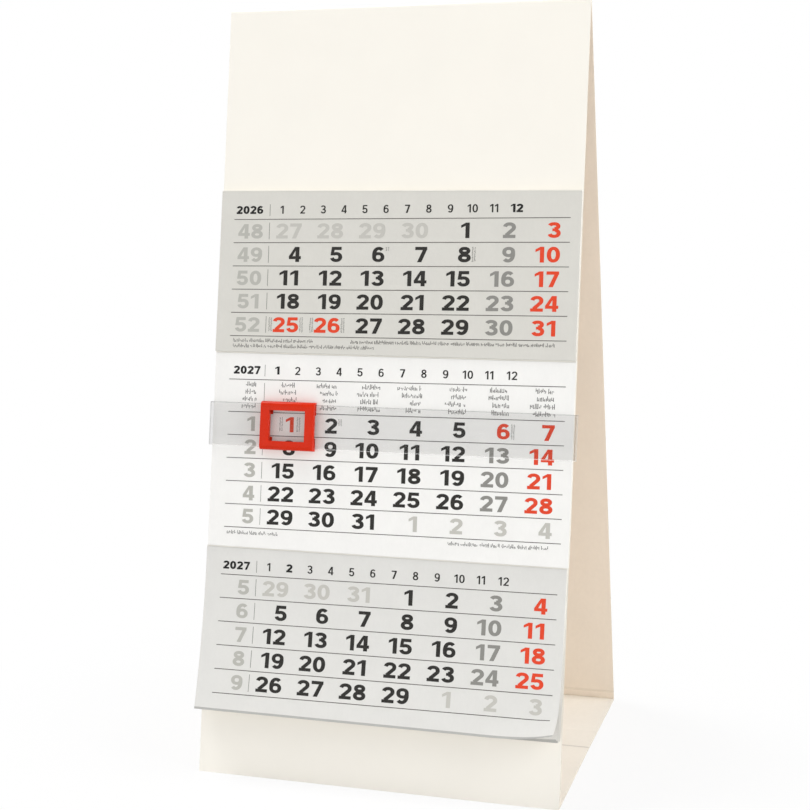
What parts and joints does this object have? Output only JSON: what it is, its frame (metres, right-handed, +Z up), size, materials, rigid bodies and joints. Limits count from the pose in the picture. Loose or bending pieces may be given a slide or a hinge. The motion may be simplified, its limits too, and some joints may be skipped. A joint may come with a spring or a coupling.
{
  "type": "three-month desk calendar",
  "caption": "Desk calendar on a folding card easel, with tear-off month pads and a red date marker that slides on a clear film band.",
  "frame": {"origin": "centre of the floor panel's underside, where the easel stands on the desk", "axes": "+X to the right as one reads the calendar, +Y to the back, +Z up"},
  "size_m": [0.1024, 0.0897, 0.2063],
  "materials": {
    "card_outside": "matt",
    "card_inside": "matt",
    "grey_leaf": "matt",
    "white_leaf": "matt",
    "pad_gum": "satin",
    "pad_glue": "satin",
    "clear_film": "gloss, see-through",
    "red_plastic": "satin"
  },
  "bodies": {
    "easel_front": {"front_panel": "card_outside", "glue_flap": "card_inside", "upper_leaf_02": "grey_leaf", "upper_leaf_03": "grey_leaf", "upper_leaf_04": "grey_leaf", "upper_leaf_05": "grey_leaf", "upper_leaf_06": "grey_leaf", "upper_leaf_07": "grey_leaf", "upper_leaf_08": "grey_leaf", "upper_leaf_09": "grey_leaf", "upper_leaf_10": "grey_leaf", "upper_leaf_11": "grey_leaf", "upper_leaf_12": "grey_leaf", "middle_leaf_01": "white_leaf", "middle_leaf_02": "white_leaf", "middle_leaf_03": "white_leaf", "middle_leaf_04": "white_leaf", "middle_leaf_05": "white_leaf", "middle_leaf_06": "white_leaf", "middle_leaf_07": "white_leaf", "middle_leaf_08": "white_leaf", "middle_leaf_09": "white_leaf", "middle_leaf_10": "white_leaf", "middle_leaf_11": "white_leaf", "middle_leaf_12": "white_leaf", "lower_leaf_02": "grey_leaf", "lower_leaf_03": "grey_leaf", "lower_leaf_04": "grey_leaf", "lower_leaf_05": "grey_leaf", "lower_leaf_06": "grey_leaf", "lower_leaf_07": "grey_leaf", "lower_leaf_08": "grey_leaf", "lower_leaf_09": "grey_leaf", "lower_leaf_10": "grey_leaf", "lower_leaf_11": "grey_leaf", "lower_leaf_12": "grey_leaf", "upper_pad_gum": "pad_gum", "upper_pad_glue": "pad_glue", "middle_pad_gum": "pad_gum", "middle_pad_glue": "pad_glue", "lower_pad_gum": "pad_gum", "lower_pad_glue": "pad_glue"},
    "easel_back": {"rear_panel": "card_inside"},
    "floor_front": {"floor_front": "card_inside"},
    "floor_rear": {"floor_rear": "card_inside"},
    "band": {"film_band": "clear_film"},
    "marker": {"date_marker": "red_plastic"},
    "upper_top_leaf": {"upper_leaf_01": "grey_leaf"},
    "lower_top_leaf": {"lower_leaf_01": "grey_leaf"}
  },
  "joints": [
    {"name": "easel_fold", "type": "hinge", "parent": "easel_front", "child": "easel_back", "pos_m": [0, 0, 0.20585], "axis": [-1, 0, 0], "range_deg": [0, 19]},
    {"name": "front_crease", "type": "hinge", "parent": "easel_front", "child": "floor_front", "pos_m": [0, -0.04045, 0.0005], "axis": [1, 0, 0], "range_deg": [0, 73.71]},
    {"name": "rear_crease", "type": "hinge", "parent": "easel_back", "child": "floor_rear", "pos_m": [0, 0.041, 0.0005], "axis": [-1, 0, 0], "range_deg": [0, 73.71]},
    {"name": "band_slide", "type": "slide", "parent": "easel_front", "child": "band", "axis": [0, -0.1958, -0.9806], "range_m": [0, 0.0254]},
    {"name": "marker_slide", "type": "slide", "parent": "band", "child": "marker", "axis": [1, 0, 0], "range_m": [-0.0148, 0.0692]},
    {"name": "upper_leaf_lift", "type": "hinge", "parent": "easel_front", "child": "upper_top_leaf", "pos_m": [0, -0.01211, 0.15728], "axis": [-1, 0, 0], "range_deg": [0, 120]},
    {"name": "lower_leaf_lift", "type": "hinge", "parent": "easel_front", "child": "lower_top_leaf", "pos_m": [0, -0.03126, 0.06141], "axis": [-1, 0, 0], "range_deg": [0, 100]}
  ],
  "couplings": [
    {"joint": "front_crease", "follows": "easel_fold", "ratio": 3.8789},
    {"joint": "rear_crease", "follows": "easel_fold", "ratio": 3.8789}
  ]
}
